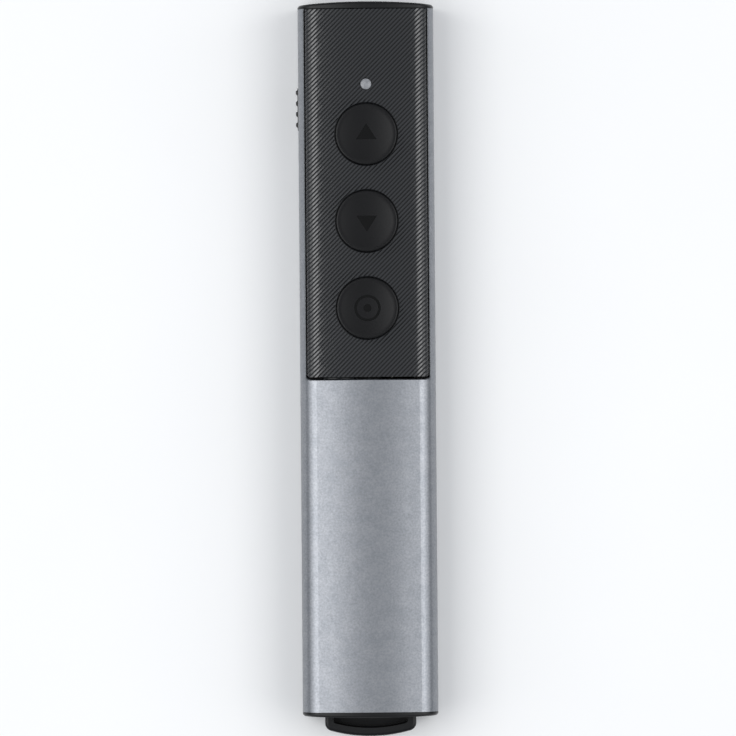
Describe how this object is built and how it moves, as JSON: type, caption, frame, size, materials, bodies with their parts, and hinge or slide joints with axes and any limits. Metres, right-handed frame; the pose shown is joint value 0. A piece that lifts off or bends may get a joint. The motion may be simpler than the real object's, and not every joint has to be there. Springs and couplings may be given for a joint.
{
  "type": "presentation clicker",
  "caption": "Slim handheld wireless presenter: aluminium sleeve, ribbed black panel with round up, down and laser buttons, side power slide, sliding battery door and stored plug-in receiver.",
  "frame": {"origin": "middle of the flat back, halfway along the sleeve", "axes": "+X across the handset, +Y towards the laser end, +Z out of the face with the buttons"},
  "size_m": [0.0255, 0.1353, 0.0155],
  "materials": {
    "anodised_aluminium": "bead blasted, clear anodised",
    "panel_plastic": "moulded with fine diagonal ribs",
    "button_plastic": "smooth satin",
    "cap_plastic": "satin",
    "door_plastic": "fine spark texture",
    "frame_plastic": "plain moulded",
    "clear_plastic": "clear moulded",
    "window_glass": "smooth",
    "circuit_board": "solder resist",
    "component_black": "moulded",
    "sprung_steel": "nickel plated",
    "brass": "turned",
    "cell_jacket": "plain printed sleeve on a steel can"
  },
  "bodies": {
    "handset": {"sleeve": "anodised_aluminium", "front_panel": "panel_plastic", "up_key": "component_black", "down_key": "component_black", "laser_key": "component_black", "slide_switch_case": "sprung_steel", "light_pipe": "clear_plastic", "signal_lamp": "clear_plastic", "main_board": "circuit_board", "board_screws": "sprung_steel", "radio_chip": "component_black", "crystal": "sprung_steel", "laser_barrel": "brass", "laser_lens": "clear_plastic", "laser_diode": "brass", "laser_window": "window_glass", "inner_frame": "frame_plastic", "left_cell": "cell_jacket", "right_cell": "cell_jacket", "positive_contact": "sprung_steel", "negative_contact": "sprung_steel", "bridge_contact": "sprung_steel", "negative_spring": "sprung_steel", "bridge_spring": "sprung_steel", "top_cap": "cap_plastic", "bottom_cap": "cap_plastic"},
    "up_button": {"up_button": "button_plastic", "up_plunger": "component_black"},
    "down_button": {"down_button": "button_plastic", "down_plunger": "component_black"},
    "laser_button": {"laser_button": "button_plastic", "laser_plunger": "component_black"},
    "power_switch": {"power_knob": "cap_plastic", "slide_switch_nub": "component_black"},
    "battery_door": {"battery_door": "door_plastic"},
    "receiver": {"receiver_grip": "cap_plastic", "plug_shell": "sprung_steel", "plug_tongue": "component_black", "plug_blades": "brass"}
  },
  "joints": [
    {"name": "up_press", "type": "slide", "parent": "handset", "child": "up_button", "axis": [0, 0, -1], "range_m": [0, 0.00035], "stiffness_N_per_m": 900, "springref_m": -0.0006},
    {"name": "down_press", "type": "slide", "parent": "handset", "child": "down_button", "axis": [0, 0, -1], "range_m": [0, 0.00035], "stiffness_N_per_m": 900, "springref_m": -0.0006},
    {"name": "laser_press", "type": "slide", "parent": "handset", "child": "laser_button", "axis": [0, 0, -1], "range_m": [0, 0.00035], "stiffness_N_per_m": 900, "springref_m": -0.0006},
    {"name": "power_slide", "type": "slide", "parent": "handset", "child": "power_switch", "axis": [0, -1, 0], "range_m": [0, 0.002]},
    {"name": "door_slide", "type": "slide", "parent": "handset", "child": "battery_door", "axis": [0, -1, 0], "range_m": [0, 0.0665]},
    {"name": "receiver_pull", "type": "slide", "parent": "handset", "child": "receiver", "axis": [0, -1, 0], "range_m": [0, 0.0145]}
  ]
}
